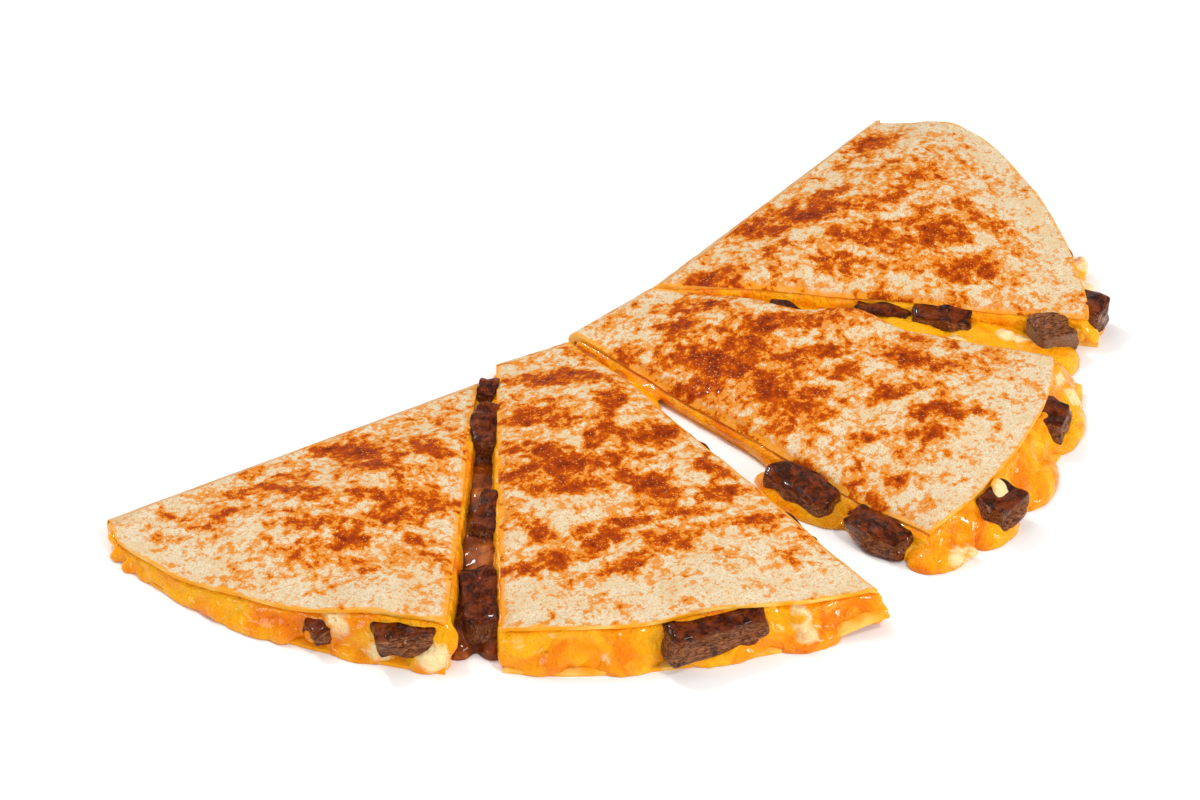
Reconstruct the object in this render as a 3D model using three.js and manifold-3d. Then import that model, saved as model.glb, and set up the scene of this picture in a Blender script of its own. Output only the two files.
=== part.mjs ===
// A grilled steak and cheese quesadilla: one flour tortilla folded over its filling, cut
// across into four wedges from near the middle of the fold, and fanned out a little.
// Millimetres, +Z up. The open rims face -Y and +X, and the folded edge faces -X and +Y.
import * as THREE from "three";
import Module from "manifold-3d";
import { mergeVertices } from "three/addons/utils/BufferGeometryUtils.js";

const wasm = await Module();
wasm.setup();

// Driving dimensions.
const SHEET = 2.2; // thickness of the tortilla
const FOLD_HEIGHT = 6; // height of the pressed fold
const FOLD_RISE = 34; // distance from the fold at which the filling has its full height
const RIM_FALL = 26; // width of the band in which the top sheet sinks towards its rim
const CUT_GAP = 0.3; // free gap between pieces that touch
const BULGE = 1.1; // how far melted cheese swells out of a cut side
const PINCH = 2.1; // how far that swelling stays clear of the sheets
const THIN = 0.4; // half the thickness of the filling next to the fold
const LEAST_LIP = 1.2; // the least that the filling runs out past the top sheet's rim
const CURL_RUN = 12; // distance from the rim over which a corner curls up
const SLIVER = 0.05; // faces thinner than this are merged away after a cut
const CENTRE = new THREE.Vector2(7, 16.9); // middle of the fan's box, in the plan below

const FOLD_RADIUS = FOLD_HEIGHT / 2;
const SECTIONS = 9; // sections across a wedge
const TOP_STEPS = 8; // steps from fold to rim on the top sheet
const FOLD_STEPS = 4;
const BOTTOM_STEPS = 2;

// Plan of the four wedges. fold runs from one cut side (v = 0) to the other (v = 1), and
// rim is the cubic curve that the top sheet's open edge follows from v = 0 to v = 1. Lists
// of three give a value at v = 0, in the middle and at v = 1: how far the bottom sheet
// stands out past the top one, the height at the crown and the height at the rim. Lumps are
// places where steak pushes the top sheet up: place in plan, radius, height.
const WEDGES = {
  wedge_1: {
    fold: [[-122.2, -45], [-31.6, 10.4]],
    rim: [[-118.3, -53.6], [-97.5, -79.5], [-62, -89], [-36.4, -90.7]],
    lip: [1.4, 2.4, 6],
    crown: [7, 11, 10.5],
    rimHeight: [6, 9.2, 12.5],
    curl: [0, 0],
    lumps: [[-56, -84.4, 17, 2.2]],
  },
  wedge_2: {
    fold: [[-27.2, 18.3], [-9.4, 27.8]],
    rim: [[-23.1, -92.1], [3, -97], [43, -84.6], [66.5, -76.9]],
    lip: [3.8, 4.6, 5],
    crown: [10.5, 12, 10.2],
    rimHeight: [10.8, 11.4, 10],
    curl: [0, 4],
    lumps: [[28.5, -83.6, 20, 2.6]],
  },
  wedge_3: {
    fold: [[-8.4, 31.2], [12.2, 51]],
    rim: [[80.7, -54], [97, -43], [119.7, -4.2], [117.4, 15]],
    lip: [5.6, 6.2, 8.8],
    crown: [6.2, 11.5, 9.3],
    rimHeight: [8.6, 11.5, 11],
    curl: [0, 1.5],
    lumps: [[66.9, 32.3, 16, 4.2]],
  },
  wedge_4: {
    fold: [[13.6, 52], [77.4, 131.4]],
    rim: [[129, 32.2], [130.5, 50], [119.5, 131], [87, 132]],
    lip: [3.2, 4, 1],
    crown: [9.8, 12, 7],
    rimHeight: [10.4, 10.5, 6],
    curl: [0, 0],
    lumps: [],
  },
};

// Pools and drips of melted cheese that lie outside a wedge's sheets, each a low dome:
// place in plan, half length, half width, turn in degrees, height.
const POOLS = {
  wedge_1: [
    [-40.5, -92.6, 5.5, 4.2, 0, 5.5],
    [-101, -67.6, 9, 3.6, -42, 3.6],
    [-83, -79.6, 10, 4, -24, 4],
    [-57, -89.4, 9, 3.4, -14, 3.6],
  ],
  wedge_2: [
    [-14, -93.8, 8, 3.8, 0, 5],
    [5, -93.6, 9, 4, 0, 5],
    [29, -89.9, 10, 4, 12, 4.4],
    [50, -84.6, 9, 4.4, 20, 5],
  ],
  wedge_3: [
    [8, 8, 11, 4.4, -43, 5.5],
    [50.5, -32.6, 15, 6.2, -43, 5.4],
    [70, -47.4, 11.5, 5, -38, 5.2],
    [83, -55, 8, 5.4, 20, 5],
    [97.4, -43.6, 9, 6, 52, 6.5],
    [109.4, -26.6, 11, 6, 66, 6],
    [118.4, -2, 13, 7, 76, 5.6],
  ],
  wedge_4: [
    [127.5, 57, 11, 5, -82, 6],
    [119, 86, 14, 5, -70, 5],
    [130, 42, 7, 5.6, 90, 5.4],
  ],
};

// Melt and juice that bridge two wedges, as domes of the same form.
const BRIDGES = {
  melt_1_2: [
    [-29.3, 3, 10, 6, 86, 5],
    [-29.4, -12, 13, 8, 90, 6],
    [-29.2, -32, 13, 9, 90, 5.4],
    [-28.8, -52, 14, 10, 90, 5.8],
    [-28.8, -72, 14, 11, 90, 5.4],
    [-33.6, -84, 8, 5, 90, 4.6],
    [-25.4, -84, 8, 5, 90, 4.6],
  ],
  melt_3_4: [
    [52, 40.5, 18, 7, -12, 5.4],
    [78, 35, 18, 9, -14, 6.4],
    [102, 30, 16, 11, -16, 6],
    [117, 26, 10, 10, 0, 5],
  ],
};

// Pieces of grilled steak: place in plan, height of the middle, length, width, thickness,
// turn in degrees.
const STEAK = {
  steak_w1_front: [-46, -88.5, 6.6, 15, 11, 7.6, 10],
  steak_w1_chip: [-66.2, -86, 4.9, 7, 6, 4, 35],
  steak_w2_front: [27, -88.3, 6.9, 25, 10, 8.2, 22],
  steak_w2_back_a: [23.6, -21.4, 4.4, 15, 8, 6.6, -53],
  steak_w2_back_b: [46.6, -53, 4.4, 13, 8, 6.6, -53],
  steak_w3_side_a: [51, -32.3, 4, 20, 9.5, 6.8, -42],
  steak_w3_side_b: [68.5, -48.5, 3.9, 17, 9, 6.4, -40],
  steak_w3_rim_a: [114.6, -7.6, 6, 10.5, 10, 8, 72],
  steak_w3_rim_b: [99.4, -41.4, 6, 11, 9.6, 8, 50],
  steak_w3_back: [50, 38, 4.6, 13, 7, 6.6, -20],
  steak_w4_side_a: [75.2, 40, 4.4, 15, 8, 7, -8],
  steak_w4_side_b: [91.3, 37.4, 4.6, 16, 9, 7.2, -12],
  steak_w4_knob: [119.4, 30.6, 5, 10.5, 9.6, 7.4, 20],
  steak_w4_corner: [130.2, 39.4, 5.8, 9.6, 9, 8, 60],
  steak_w4_rim_a: [123, 66, 5.4, 13, 8, 7, -78],
  steak_w4_rim_b: [114, 98, 5, 12, 8, 6.4, -66],
  steak_gap_top: [-28.8, 4.5, 5.2, 8, 5, 6, 80],
  steak_gap_a: [-29.2, -12, 5.6, 15, 7, 7, 86],
  steak_gap_b: [-27.4, -45, 5.2, 16, 6.6, 6.6, 80],
  steak_gap_c: [-28.8, -77.5, 5.4, 21, 8.6, 7, 96],
};

const MATERIALS = {
  tortilla: new THREE.MeshStandardMaterial({ color: "#e2bf8c", roughness: 0.75, metalness: 0 }),
  cheese: new THREE.MeshStandardMaterial({ color: "#f2a21c", roughness: 0.3, metalness: 0 }),
  steak: new THREE.MeshStandardMaterial({ color: "#5b3021", roughness: 0.4, metalness: 0 }),
};

const lerp = THREE.MathUtils.lerp;
const smoothstep = THREE.MathUtils.smoothstep;

// The value at t on the parabola through three values at t = 0, 1/2 and 1.
function through([start, middle, end], t) {
  return start * (1 - t) * (1 - 2 * t) + 4 * middle * t * (1 - t) + end * t * (2 * t - 1);
}

// The section of a wedge at v: where it leaves the fold, its direction in plan, and how
// far the top and bottom sheets run.
function sectionAt(wedge, v) {
  const [a, b] = wedge.fold.map((p) => new THREE.Vector2(...p).sub(CENTRE));
  const knots = wedge.rim.map((p) => new THREE.Vector2(...p).sub(CENTRE));
  const start = a.lerp(b, v);
  const run = new THREE.CubicBezierCurve(...knots).getPoint(v).sub(start);
  const length = run.length();
  return {
    v,
    start,
    direction: run.divideScalar(length),
    length,
    lip: through(wedge.lip, v),
    crown: through(wedge.crown, v),
    rimHeight: through(wedge.rimHeight, v),
    curl: wedge.curl[0] * (1 - smoothstep(v, 0, 0.25)) + wedge.curl[1] * smoothstep(v, 0.75, 1),
    lumps: wedge.lumps,
  };
}

// Height of the top sheet's upper face at a distance s from the fold.
function topHeight(section, s) {
  const rise = smoothstep(s, 0, FOLD_RISE);
  const fall = smoothstep(s, section.length - RIM_FALL, section.length);
  const ripple = 0.35 * Math.sin(s / 9 + 5 * section.v) * rise;
  const flat = place(section, s, 0);
  const lifted = section.lumps.map(([x, y, radius, height]) => {
    const away = Math.hypot(flat.x + CENTRE.x - x, flat.y + CENTRE.y - y);
    return height * (1 - smoothstep(away, 0, radius));
  });
  const climb = (section.crown - FOLD_HEIGHT) * rise - (section.crown - section.rimHeight) * fall;
  return FOLD_HEIGHT + climb + ripple + lifted.reduce((sum, height) => sum + height, 0);
}

// Height of the bottom sheet's lower face: flat, but for a corner that curls up.
function bottomHeight(section, s) {
  return section.curl * smoothstep(s, section.length - CURL_RUN, section.length + section.lip);
}

// A point of a section, pushed out sideways from the cut by out.
function place(section, s, z, out = 0) {
  const { start, direction: d } = section;
  return new THREE.Vector3(start.x + d.x * s - d.y * out, start.y + d.y * s + d.x * out, z);
}

// The closed solid through equal loops of points, one for each section. The first half of
// a loop faces its second half, and the two end caps are strips between them.
function sweep(loops) {
  const count = loops[0].length;
  const last = loops.length - 1;
  const at = (j, i) => j * count + (i % count);
  const index = [];
  for (let j = 0; j < last; j++) {
    for (let i = 0; i < count; i++) {
      index.push(at(j, i), at(j, i + 1), at(j + 1, i + 1));
      index.push(at(j, i), at(j + 1, i + 1), at(j + 1, i));
    }
  }
  for (let i = 0; i < count / 2 - 1; i++) {
    const k = count - 1 - i;
    index.push(at(0, i + 1), at(0, i), at(0, k), at(0, i + 1), at(0, k), at(0, k - 1));
    index.push(at(last, i), at(last, i + 1), at(last, k));
    index.push(at(last, i + 1), at(last, k - 1), at(last, k));
  }
  const points = loops.flat();
  const geometry = new THREE.BufferGeometry().setFromPoints(points);
  geometry.setIndex(index);
  return solid(geometry);
}

// A closed geometry as a solid to join and cut. Its faces are turned round if they point in.
function solid(geometry) {
  geometry.deleteAttribute("normal");
  geometry.deleteAttribute("uv");
  const merged = mergeVertices(geometry, 1e-4);
  const vertProperties = new Float32Array(merged.attributes.position.array);
  const triVerts = new Uint32Array(merged.index.array);
  const made = new wasm.Manifold(new wasm.Mesh({ numProp: 3, vertProperties, triVerts }));
  if (made.volume() > 0) return made;
  return new wasm.Manifold(new wasm.Mesh({ numProp: 3, vertProperties, triVerts: triVerts.reverse() }));
}

// The largest body of a solid, as a geometry: what a cut leaves loose is dropped.
function largest(cut) {
  const parts = cut.asOriginal().simplify(SLIVER).decompose();
  const body = parts.reduce((a, b) => (a.volume() > b.volume() ? a : b));
  const { numProp, vertProperties, triVerts } = body.getMesh();
  const positions = [];
  for (let i = 0; i < vertProperties.length; i += numProp) {
    positions.push(...vertProperties.subarray(i, i + 3));
  }
  const geometry = new THREE.BufferGeometry();
  geometry.setAttribute("position", new THREE.Float32BufferAttribute(positions, 3));
  geometry.setIndex(new THREE.BufferAttribute(triVerts, 1));
  geometry.computeVertexNormals();
  return geometry;
}

const steps = (count) => Array.from({ length: count + 1 }, (_, i) => i / count);

// The folded tortilla of a wedge, grown by margin on every face.
function tortilla(wedge, margin = 0) {
  const loops = steps(SECTIONS).map((v) => {
    const section = sectionAt(wedge, v);
    const out = v === 0 ? -margin : v === 1 ? margin : 0;
    const ends = { bottom: section.length + section.lip + margin, top: section.length + margin };
    const path = (shrink) => {
      const points = [];
      for (const t of steps(BOTTOM_STEPS)) {
        const s = lerp(ends.bottom, FOLD_RADIUS, t);
        points.push([s, bottomHeight(section, s) + shrink]);
      }
      for (const t of steps(FOLD_STEPS).slice(1, -1)) {
        const angle = Math.PI * t;
        const radius = FOLD_RADIUS - shrink;
        points.push([FOLD_RADIUS - radius * Math.sin(angle), FOLD_RADIUS - radius * Math.cos(angle)]);
      }
      for (const t of steps(TOP_STEPS)) {
        const s = lerp(FOLD_RADIUS, ends.top, t);
        points.push([s, (t === 0 ? FOLD_HEIGHT : topHeight(section, s)) - shrink]);
      }
      return points;
    };
    const loop = [...path(-margin), ...path(SHEET + margin).reverse()];
    return loop.map(([s, z]) => place(section, s, z, out));
  });
  return sweep(loops);
}

// How far the filling of a wedge reaches past the top sheet's rim, as a share of the lip.
const reach = (v) => 0.72 + 0.16 * Math.sin(17 * v + 1) + 0.1 * Math.sin(41 * v);

// The filling of a wedge before the sheets and the steak are cut out of it.
function filling(wedge, margin = 0) {
  const sides = [
    { v: 0, out: -BULGE, squeeze: PINCH },
    { v: 0, out: -0.1, squeeze: 0.4 },
    { v: 0, out: 0.5, squeeze: 0 },
    ...steps(SECTIONS).slice(1, -1).map((v) => ({ v, out: 0, squeeze: 0 })),
    { v: 1, out: -0.5, squeeze: 0 },
    { v: 1, out: 0.1, squeeze: 0.4 },
    { v: 1, out: BULGE, squeeze: PINCH },
  ];
  const loops = sides.map(({ v, out, squeeze }) => {
    const section = sectionAt(wedge, v);
    const { length } = section;
    const edge = length + Math.max(LEAST_LIP, section.lip * reach(v));
    const lowest = (squeeze > 0 ? SHEET + squeeze : 0) - margin;
    const drop = squeeze > 0 ? SHEET + squeeze : SHEET / 2;
    const rimZ = topHeight(section, length) - SHEET - THIN;
    const bottom = [];
    const top = [];
    for (const t of steps(TOP_STEPS)) {
      const s = lerp(FOLD_RADIUS + THIN, length - 0.6, t);
      const thickness = topHeight(section, s);
      const level = Math.min(thickness - drop, thickness - SHEET + 0.5) + margin;
      bottom.push([s, Math.min(lowest, thickness / 2 - THIN - margin)]);
      top.push([s, Math.max(level, thickness / 2 + THIN + margin)]);
    }
    const rimTop = rimZ - squeeze / 2 + margin;
    const edgeTop = Math.max(lowest + 0.6 + 2 * margin, rimZ * 0.45 + margin);
    bottom.push([length + 0.8, Math.min(lowest, rimZ / 2 - margin)], [edge - 0.9 + margin, lowest]);
    top.push([length + 0.5, rimTop], [edge + margin, edgeTop]);
    const grown = squeeze > 0 ? Math.sign(out) * margin : 0;
    const swell = (s) => grown + out * (Math.abs(out) < BULGE ? 1 : swellAt(s));
    return [...bottom, ...top.reverse()].map(([s, z]) => place(section, s, z, swell(s)));
  });
  return sweep(loops);
}

// The bulge of the cheese along a cut side: none at the fold, then uneven.
function swellAt(s) {
  return smoothstep(s, 6, 26) * (1 + 0.35 * Math.sin(s / 5.3) + 0.25 * Math.sin(s / 2.9 + 1)) + 0.12;
}

// A low dome of melted cheese with a flat foot on the table, grown by margin.
function dome([x, y, halfLength, halfWidth, turn, height], margin = 0) {
  const geometry = new THREE.SphereGeometry(1, 12, 6).rotateX(Math.PI / 2);
  geometry.scale(halfLength + margin, halfWidth + margin, height + margin);
  const position = geometry.attributes.position;
  for (let i = 0; i < position.count; i++) position.setZ(i, Math.max(0, position.getZ(i)));
  geometry.rotateZ(THREE.MathUtils.degToRad(turn));
  geometry.translate(x - CENTRE.x, y - CENTRE.y, 0);
  return solid(geometry);
}

// A repeatable random number from 0 to 1 for each call.
function seeded(seed) {
  let state = seed;
  return () => {
    state = (state * 1664525 + 1013904223) % 4294967296;
    return state / 4294967296;
  };
}

// An uneven block of steak with softened edges, grown by margin on every face.
function steakBlock([x, y, z, length, width, thickness, turn], seed, margin = 0) {
  const box = new THREE.BoxGeometry(2, 2, 2, 4, 2, 2);
  box.deleteAttribute("normal");
  box.deleteAttribute("uv");
  const geometry = mergeVertices(box);
  const position = geometry.attributes.position;
  const random = seeded(seed);
  const point = new THREE.Vector3();
  for (let i = 0; i < position.count; i++) {
    point.fromBufferAttribute(position, i);
    point.multiplyScalar(1.03 - 0.055 * point.lengthSq() + 0.13 * (random() - 0.5));
    position.setXYZ(i, point.x, point.y, point.z);
  }
  geometry.scale(length / 2 + margin, width / 2 + margin, thickness / 2 + margin);
  geometry.rotateZ(THREE.MathUtils.degToRad(turn));
  geometry.translate(x - CENTRE.x, y - CENTRE.y, z);
  return solid(geometry);
}

const part = new THREE.Group();

function addPiece(name, geometry, material) {
  const piece = new THREE.Mesh(geometry, material);
  piece.name = name;
  part.add(piece);
}

const join = (bodies) => bodies.reduce((all, body) => all.add(body));
const wedges = Object.entries(WEDGES);
const sheetRoom = join(wedges.map(([, wedge]) => tortilla(wedge, CUT_GAP)));
const steakRoom = join(Object.values(STEAK).map((piece, i) => steakBlock(piece, i + 1, CUT_GAP)));

// Each cheese gives way to the sheets, the steak and the cheese before it.
let taken = sheetRoom.add(steakRoom);
for (const [name, wedge] of wedges) {
  const melted = join([filling(wedge), ...POOLS[name].map((pool) => dome(pool))]);
  addPiece(`${name}_tortilla`, largest(tortilla(wedge)), MATERIALS.tortilla);
  addPiece(`${name}_cheese`, largest(melted.subtract(taken)), MATERIALS.cheese);
  taken = join([taken, filling(wedge, CUT_GAP), ...POOLS[name].map((pool) => dome(pool, CUT_GAP))]);
}
for (const [name, domes] of Object.entries(BRIDGES)) {
  addPiece(name, largest(join(domes.map((pool) => dome(pool))).subtract(taken)), MATERIALS.cheese);
}
Object.entries(STEAK).forEach(([name, piece], i) => {
  addPiece(name, largest(steakBlock(piece, i + 1).subtract(sheetRoom)), MATERIALS.steak);
});

export default part;
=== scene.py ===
import math
import random

import bmesh
import bpy
from mathutils import Matrix, Vector, noise


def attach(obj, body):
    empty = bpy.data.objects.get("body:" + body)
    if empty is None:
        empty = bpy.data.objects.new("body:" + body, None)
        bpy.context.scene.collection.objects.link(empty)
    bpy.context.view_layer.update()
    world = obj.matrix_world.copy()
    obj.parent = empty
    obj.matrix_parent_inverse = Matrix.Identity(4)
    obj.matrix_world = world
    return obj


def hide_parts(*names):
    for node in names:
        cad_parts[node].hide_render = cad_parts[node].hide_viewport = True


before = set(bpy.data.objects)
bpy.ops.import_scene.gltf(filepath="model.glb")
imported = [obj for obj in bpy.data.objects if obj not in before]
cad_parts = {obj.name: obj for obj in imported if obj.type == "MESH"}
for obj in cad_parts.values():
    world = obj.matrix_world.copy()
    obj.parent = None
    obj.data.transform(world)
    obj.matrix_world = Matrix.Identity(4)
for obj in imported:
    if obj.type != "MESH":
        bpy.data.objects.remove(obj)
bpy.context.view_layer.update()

# Tortilla. One soft flour tortilla, 2 mm thick, folded over the filling, pressed on a hot
# plate until both faces had brown sear marks, and then cut from the fold to the open rim
# into four wedges. Each wedge is one folded sheet. All sizes here are in millimetres.
MM = 0.001
CENTRE = Vector((7.0, 16.9))
SHEET = 2.2
RIM_SHEET = 1.0
FOLD_HEIGHT = 6.0
FOLD_RADIUS = FOLD_HEIGHT / 2
FOLD_RISE = 34.0
RIM_FALL = 26.0
RIPPLE = 0.35
RIPPLE_LENGTH = 9.0
RIM_WAVE = 0.9
RIM_WAVE_RUN = 14.0
CURL_RUN = 12.0
CUT_SINK = 0.3
CUT_SINK_RUN = 2.4
BLISTER = 0.32
CUT_WOBBLE = 0.25
EDGE_ROUND = 0.35
RIM_TAPER = 6.0
UNDER_SHIFT = 7.0
WEDGE_STRIDE = 40

# The plan of each wedge: the fold from one cut side to the other, the curve of the top
# sheet's rim, how far the lower sheet stands out, and the heights from side to side. The
# knife pressed the upper sheet down along the cuts, by droop, at the first and last side.
# Lumps are places where steak pushes the sheet up: place, radius and height. Places in plan
# are measured from a mark on the table, and CENTRE moves them to the middle of the piece.
WEDGES = {
    1: dict(fold=((-122.2, -45), (-31.6, 10.4)),
            rim=((-118.3, -53.6), (-97.5, -79.5), (-62, -89), (-36.4, -90.7)),
            lip=(1.4, 2.4, 6), crown=(7, 11, 10.5), rim_height=(6, 9.2, 12.5), curl=0.0,
            droop=(0.2, 0.7), lumps=[(-56, -84.4, 17, 2.2)]),
    2: dict(fold=((-27.2, 18.3), (-9.4, 27.8)),
            rim=((-23.1, -92.1), (3, -97), (43, -84.6), (66.5, -76.9)),
            lip=(3.8, 4.6, 5), crown=(10.5, 12, 10.2), rim_height=(10.8, 11.4, 10), curl=4.0,
            droop=(0.4, 0.5), lumps=[(28.5, -83.6, 20, 2.6)]),
    3: dict(fold=((-8.4, 31.2), (12.2, 51)),
            rim=((80.7, -54), (97, -43), (119.7, -4.2), (117.4, 15)),
            lip=(5.6, 6.2, 8.8), crown=(6.2, 11.5, 9.3), rim_height=(8.6, 11.5, 11), curl=1.5,
            droop=(1.0, 0.4), lumps=[(66.9, 32.3, 16, 4.2)]),
    4: dict(fold=((13.6, 52), (77.4, 131.4)),
            rim=((129, 32.2), (130.5, 50), (119.5, 131), (87, 132)),
            lip=(3.2, 4, 1), crown=(9.8, 12, 7), rim_height=(10.4, 10.5, 6), curl=0.0,
            droop=(1.4, 0.2), lumps=[]),
}

# Where the plate seared a wedge most, measured from the middle of the finished piece:
# place, half length, half width, turn, strength.
SEAR = {
    1: [(-66, -42.7, 13, 5.4, -29, 1), (-52, -40.7, 8, 3.6, -30, 0.7), (-93, -53.7, 6, 2.3, 25, 0.9),
        (-102, -66.7, 8, 1.9, 27, 0.7), (-80.5, -57.7, 9, 3.4, -34, 0.8), (-68, -78.7, 8, 2.6, -5, 0.9),
        (-53.6, -65.2, 10, 5.3, 33, 0.95), (-65, -60.7, 6, 2.3, -11, 0.8), (-77, -71.7, 5.4, 2.3, 13, 0.7),
        (-113, -71.7, 5, 1.5, -14, 0.6), (-49, -81.7, 8, 2.1, -55, 0.6), (-85, -48.7, 5, 2, 15, 0.6)],
    2: [(-17, -10.6, 10.3, 4.4, -7, 1), (-22, -29.6, 9, 3, -6, 0.8), (-5, -22.6, 4.4, 3.1, -10, 0.8),
        (-7, -34.6, 9, 2.7, -107, 1), (-23, -42.6, 9, 2.9, -11, 0.75), (-15, -49.6, 14, 3.7, 10, 1),
        (4, -36.6, 9, 3.7, 12, 1), (4, -56.1, 7.7, 4, -31, 1), (-15, -57.6, 9.5, 2.9, -3, 0.85),
        (5.5, -64.6, 4, 2.4, 0, 0.9), (20.6, -49.6, 5, 2.3, -30, 0.8), (15, -67.6, 7, 1.9, 7, 0.8),
        (24, -59.6, 7, 2.3, 19, 0.8), (30, -69.6, 8.7, 2.1, 16, 0.75), (-3, -71.6, 9.3, 1.9, 10, 0.85),
        (-5.5, -77.6, 5.7, 2.6, 25, 0.95), (11, -78.6, 5.4, 2.7, 13, 0.85), (1, -86.6, 6.3, 2.5, 33, 0.9),
        (-23, -85.6, 9, 3.1, 19, 0.85), (-23, -72.6, 10, 2.4, 138, 0.5)],
    3: [(18.5, 20.4, 6.3, 3.7, -10, 0.9), (13, 13, 6.7, 2.9, -8, 0.6), (0.4, 2.4, 4, 2.5, 8, 0.9),
        (34, 9.4, 12.6, 4.2, 16, 0.85), (52, 12.4, 10, 3.4, 20, 0.7), (13, -1, 8.7, 2, 25, 0.6),
        (24, -2.1, 12.4, 5.6, 9, 1), (24, -10.6, 11.6, 4.9, 9, 0.95), (39, -7.6, 9, 4.7, -26, 0.8),
        (14, -20.6, 15.7, 3.5, -44, 1), (38, -18.6, 8.3, 5.2, -29, 1), (50, -2.1, 5.7, 2.9, 0, 0.8),
        (48, -18.6, 4.8, 3.4, 13, 0.85), (55, -10.6, 4.3, 2.5, 28, 0.8), (41, -29.6, 9.3, 2.3, 10, 0.65),
        (71, -2.6, 8, 3.9, -36, 0.85), (78, 3.4, 6, 2.5, -17, 0.75), (84, -7.6, 6.7, 2.8, 32, 0.9),
        (68, -19.6, 6.7, 2.9, 23, 0.9), (79, -27.6, 7, 3.9, 16, 0.9), (77, -35.6, 6.4, 2.7, 0, 0.85),
        (87, -25.1, 5, 2.1, -62, 0.6), (69, -51.6, 3.6, 2.3, 0, 0.8), (62, -34.6, 5.3, 2, 9, 0.6),
        (46, -44.6, 4.7, 2.2, -48, 0.6), (59.5, -56.6, 6.3, 2.7, -52, 0.7)],
    4: [(70, 101, 6.4, 3.9, 35, 1), (44, 62, 13, 5.8, 14, 1), (24, 34, 9.5, 4.8, 19, 0.95),
        (51, 71, 10.4, 3.3, 16, 0.7), (67, 50, 10, 5.1, -18, 0.95), (59, 37, 8.8, 4.1, -10, 0.8),
        (69, 68, 9.6, 3.3, 27, 0.7), (79, 81, 8.3, 4.8, -25, 0.6), (85, 50, 7.8, 6.6, -31, 0.85),
        (92.5, 34, 7, 4.5, 6, 0.95), (72, 22.5, 9.2, 2.2, -16, 0.9), (27, 23, 9, 1.8, -13, 0.6),
        (98, 59, 11.5, 4, -49, 0.5), (74, 52, 10.4, 3.3, 53, 0.7)],
}


def smooth(low, high, x):
    """0 below low, 1 above high, and an even curve between them."""
    t = min(1.0, max(0.0, (x - low) / (high - low)))
    return t * t * (3 - 2 * t)


def through(values, t):
    """The value at t on the parabola through three values at 0, 1/2 and 1."""
    start, middle, end = values
    return start * (1 - t) * (1 - 2 * t) + 4 * middle * t * (1 - t) + end * t * (2 * t - 1)


class Section:
    """The line across a wedge at v, from the fold out to the rim."""

    def __init__(self, number, v):
        wedge = WEDGES[number]
        a, b = (Vector(p) - CENTRE for p in wedge["fold"])
        p0, p1, p2, p3 = (Vector(p) - CENTRE for p in wedge["rim"])
        w = 1 - v
        rim = p0 * w ** 3 + p1 * 3 * v * w * w + p2 * 3 * v * v * w + p3 * v ** 3
        self.v = v
        self.start = a.lerp(b, v)
        self.length = (rim - self.start).length
        self.way = (rim - self.start) / self.length
        self.lip = through(wedge["lip"], v)
        self.crown = through(wedge["crown"], v)
        self.rim_height = through(wedge["rim_height"], v)
        self.curl = wedge["curl"] * smooth(0.75, 1, v)
        self.lumps = wedge["lumps"]
        self.wave = RIM_WAVE * noise.noise(Vector((v * 6, number * 3.7, 0)))

    def top(self, s):
        """Height of the upper sheet's outer face at a distance s from the fold."""
        rise = smooth(0, FOLD_RISE, s)
        fall = smooth(self.length - RIM_FALL, self.length, s)
        ripple = RIPPLE * math.sin(s / RIPPLE_LENGTH + 5 * self.v) * rise
        climb = (self.crown - FOLD_HEIGHT) * rise - (self.crown - self.rim_height) * fall
        climb += self.wave * smooth(self.length - RIM_WAVE_RUN, self.length, s)
        flat = self.place(s, 0).to_2d() + CENTRE
        for x, y, radius, height in self.lumps:
            climb += height * (1 - smooth(0, radius, (flat - Vector((x, y))).length))
        return FOLD_HEIGHT + climb + ripple

    def bottom(self, s):
        """Height of the lower sheet's outer face: flat, but for a corner that curls up."""
        return self.curl * smooth(self.length - CURL_RUN, self.length + self.lip, s)

    def place(self, s, z, out=0.0):
        """A point of the section, pushed sideways out of the cut by out."""
        x = self.start.x + self.way.x * s - self.way.y * out
        y = self.start.y + self.way.y * s + self.way.x * out
        return Vector((x, y, z))


def sag(number, v, s, from_cut):
    """How far the knife pressed the upper sheet down at a distance from a cut side."""
    droop = WEDGES[number]["droop"][0 if v < 0.5 else 1]
    near = 1 - smooth(0, CUT_SINK_RUN + droop, from_cut)
    return (CUT_SINK + droop) * near ** 1.6 * smooth(4, 30, s)


def sear_at(number, x, y):
    """How strongly the hot plate marked a wedge at a point, from 0 to about 1."""
    most = 0.0
    for cx, cy, half_length, half_width, turn, strength in SEAR[number]:
        angle = math.radians(turn)
        along = (x - cx) * math.cos(angle) + (y - cy) * math.sin(angle)
        across = (y - cy) * math.cos(angle) - (x - cx) * math.sin(angle)
        away = math.hypot(along / half_length, across / half_width)
        most = max(most, strength * (1 - smooth(0.55, 1.75, away)))
    return most


def finished(name, bm, node, materials):
    """The bmesh, now in metres, as a piece that stands for a CAD node."""
    bmesh.ops.transform(bm, matrix=Matrix.Scale(MM, 4), verts=bm.verts)
    mesh = bpy.data.meshes.new(name)
    bm.to_mesh(mesh)
    bm.free()
    piece = bpy.data.objects.new(name, mesh)
    bpy.context.collection.objects.link(piece)
    for material in materials:
        mesh.materials.append(material)
    for polygon in mesh.polygons:
        polygon.use_smooth = True
    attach(piece, "root")
    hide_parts(node)
    return piece


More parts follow.
